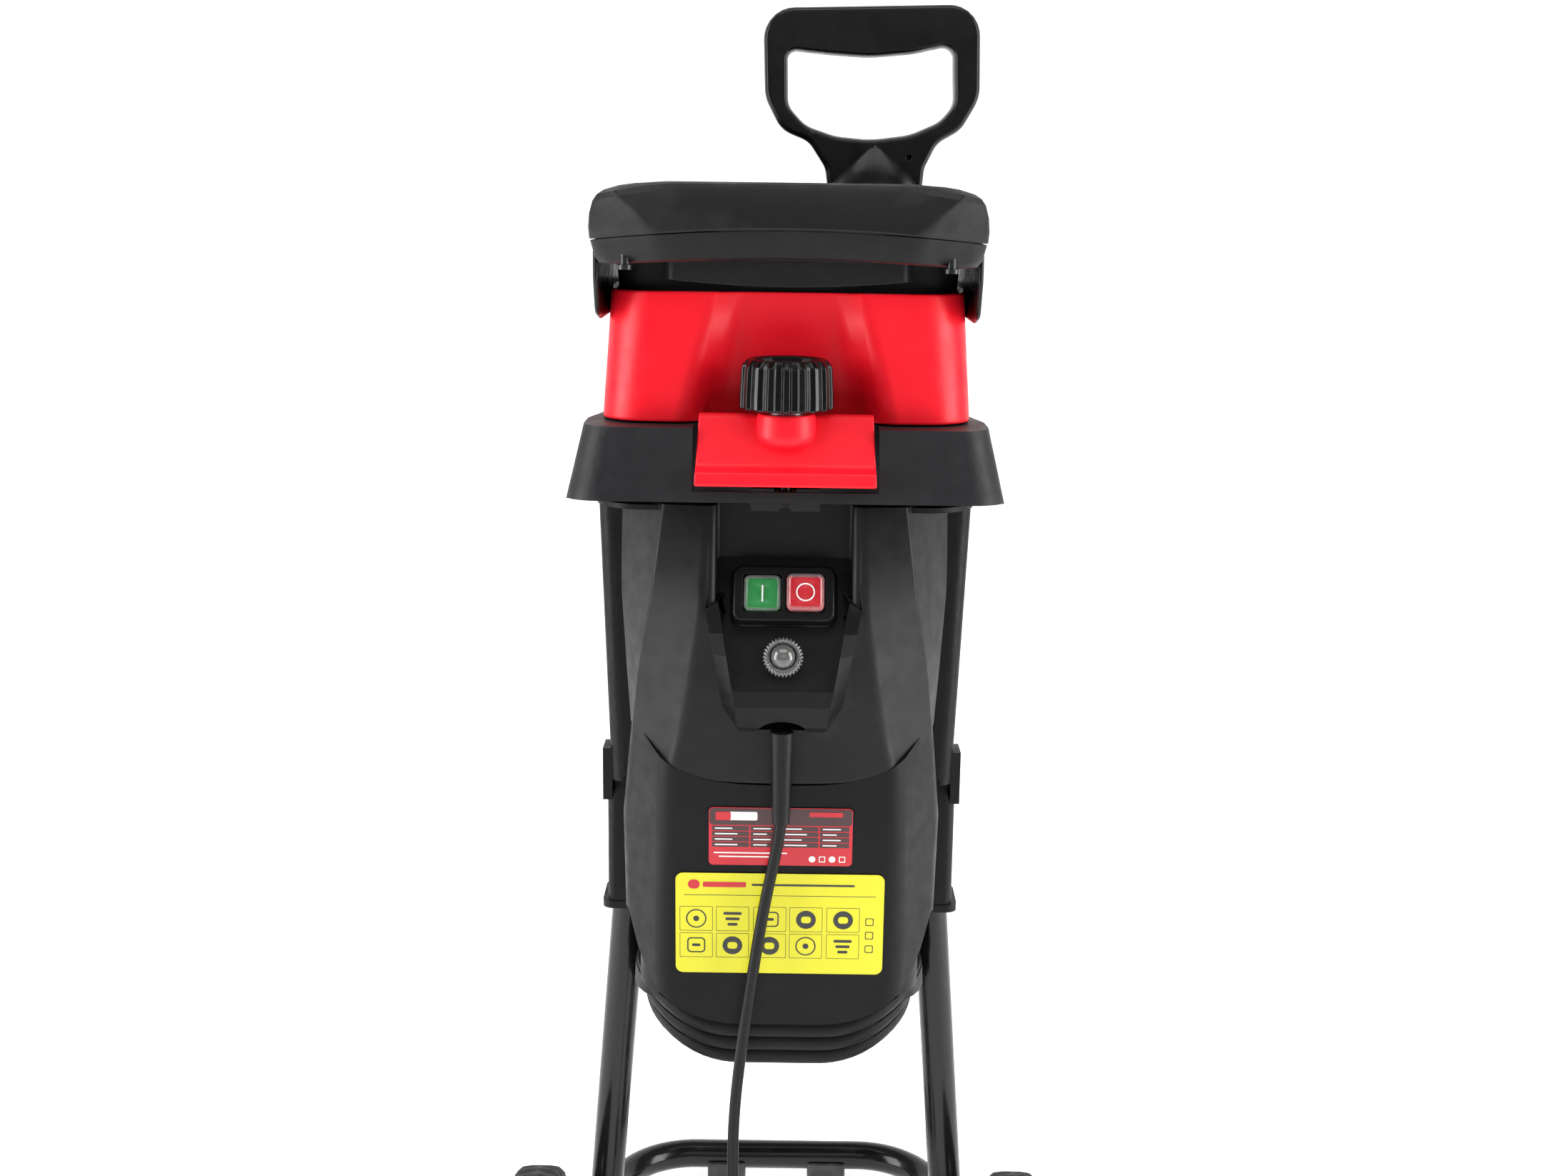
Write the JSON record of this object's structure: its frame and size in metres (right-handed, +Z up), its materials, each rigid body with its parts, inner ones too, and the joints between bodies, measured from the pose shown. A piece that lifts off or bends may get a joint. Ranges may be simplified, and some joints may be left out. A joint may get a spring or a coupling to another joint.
{
  "type": "electric garden shredder",
  "caption": "Upright electric wood chipper: red and black hopper with D-handle plunger over a disc cutter and motor, on a tube frame with wheels.",
  "frame": {"origin": "on the floor under the cutter axis", "axes": "+Z up along the cutter axis, -Y towards the switch side, +X to the right as seen from the switch side"},
  "size_m": [0.369, 0.377, 0.891],
  "materials": {
    "red_shell": "satin",
    "housing_black": "fine grain",
    "collar_black": "fine grain",
    "rim_black": "fine grain",
    "plunger_black": "semi-gloss",
    "knob_black": "gloss",
    "tube_black": "gloss powder coat",
    "steel": "zinc plated",
    "brass": "turned",
    "deck_alloy": "cast",
    "gear_steel": "machined",
    "disc_steel": "ground",
    "blade_steel": "ground edge",
    "core_steel": "laminated",
    "copper": "lacquered",
    "inner_plastic": "satin",
    "green_button": "gloss",
    "red_button": "gloss",
    "clear_plastic": "clear",
    "reset_black": "gloss",
    "cord_rubber": "satin",
    "foot_rubber": "matte",
    "tyre": "matte",
    "hub_plastic": "satin",
    "rating_label": "printed film",
    "notice_label": "printed film"
  },
  "bodies": {
    "chassis": {"base_loop": "tube_black", "leg_left": "tube_black", "leg_right": "tube_black", "leg_sockets": "housing_black", "axle": "steel", "axle_fittings": "hub_plastic", "rubber_feet": "foot_rubber", "rear_housing": "housing_black", "front_cover": "housing_black", "lower_cover": "housing_black", "bottom_cap": "housing_black", "discharge_chute": "housing_black", "bag_hooks": "housing_black", "collar": "collar_black", "lock_nut": "brass", "chamber_floor": "deck_alloy", "hinge_pin": "steel", "gear_case": "deck_alloy", "bearings": "steel", "stator_core": "core_steel", "field_windings": "copper", "motor_plate": "deck_alloy", "brush_gear": "inner_plastic", "interlock_switch": "inner_plastic", "switch_console": "housing_black", "switch_body": "inner_plastic", "breaker_ring": "clear_plastic", "breaker_body": "inner_plastic", "cord_boot": "cord_rubber", "cord": "cord_rubber", "plug": "cord_rubber", "rating_label": "rating_label", "notice_label": "notice_label", "housing_fasteners": "steel"},
    "hopper": {"red_housing": "red_shell", "latch_plate": "red_shell", "hopper_funnel": "rim_black", "rim_upper": "rim_black", "rim_lower": "rim_black", "rim_screws": "steel"},
    "knob_lift": {"knob_washer": "steel"},
    "lock_knob": {"knob": "knob_black", "lock_screw": "steel"},
    "plunger": {"plunger": "plunger_black"},
    "start_button": {"start_button": "green_button"},
    "stop_button": {"stop_button": "red_button"},
    "reset_button": {"reset_button": "reset_black"},
    "interlock": {"interlock_plunger": "inner_plastic"},
    "cutter": {"spindle": "steel", "cutter_disc": "disc_steel", "blades": "blade_steel", "disc_fasteners": "steel", "gear_wheel": "gear_steel"},
    "armature": {"armature_shaft": "steel", "armature_core": "core_steel", "cooling_fan": "inner_plastic"},
    "wheel_left": {"wheel_hub_left": "hub_plastic", "tyre_left": "tyre"},
    "wheel_right": {"wheel_hub_right": "hub_plastic", "tyre_right": "tyre"}
  },
  "joints": [
    {"name": "hopper_tilt", "type": "hinge", "parent": "chassis", "child": "hopper", "pos_m": [0, 0.12, 0.662], "axis": [-1, 0, 0], "range_deg": [0, 75]},
    {"name": "knob_lift", "type": "slide", "parent": "hopper", "child": "knob_lift", "axis": [0, 0, 1], "range_m": [0, 0.008]},
    {"name": "knob_turn", "type": "hinge", "parent": "knob_lift", "child": "lock_knob", "pos_m": [0, -0.118, 0.675], "axis": [0, 0, 1], "range_deg": [0, 1440]},
    {"name": "plunger_slide", "type": "slide", "parent": "hopper", "child": "plunger", "axis": [0, 0, 1], "range_m": [0, 0.16]},
    {"name": "start_press", "type": "slide", "parent": "chassis", "child": "start_button", "axis": [0, 0.8829, -0.4695], "range_m": [0, 0.003], "stiffness_N_per_m": 800},
    {"name": "stop_press", "type": "slide", "parent": "chassis", "child": "stop_button", "axis": [0, 0.8829, -0.4695], "range_m": [0, 0.003], "stiffness_N_per_m": 800},
    {"name": "reset_press", "type": "slide", "parent": "chassis", "child": "reset_button", "axis": [0, 0.8829, -0.4695], "range_m": [0, 0.0025], "stiffness_N_per_m": 800},
    {"name": "interlock_rise", "type": "slide", "parent": "chassis", "child": "interlock", "axis": [0, 0, 1], "range_m": [0, 0.002]},
    {"name": "cutter_spin", "type": "hinge", "parent": "chassis", "child": "cutter", "pos_m": [0, 0, 0.6], "axis": [0, 0, 1], "continuous": true},
    {"name": "armature_spin", "type": "hinge", "parent": "chassis", "child": "armature", "pos_m": [0, -0.0375, 0.45], "axis": [0, 0, 1], "continuous": true},
    {"name": "wheel_left_spin", "type": "hinge", "parent": "chassis", "child": "wheel_left", "pos_m": [-0.157, -0.075, 0.078], "axis": [1, 0, 0], "continuous": true},
    {"name": "wheel_right_spin", "type": "hinge", "parent": "chassis", "child": "wheel_right", "pos_m": [0.157, -0.075, 0.078], "axis": [1, 0, 0], "continuous": true}
  ],
  "couplings": [
    {"joint": "knob_lift", "follows": "knob_turn", "m_per_rad": 0.00031831},
    {"joint": "interlock_rise", "follows": "hopper_tilt", "m_per_rad": 0.0015279},
    {"joint": "armature_spin", "follows": "cutter_spin", "ratio": -4}
  ]
}
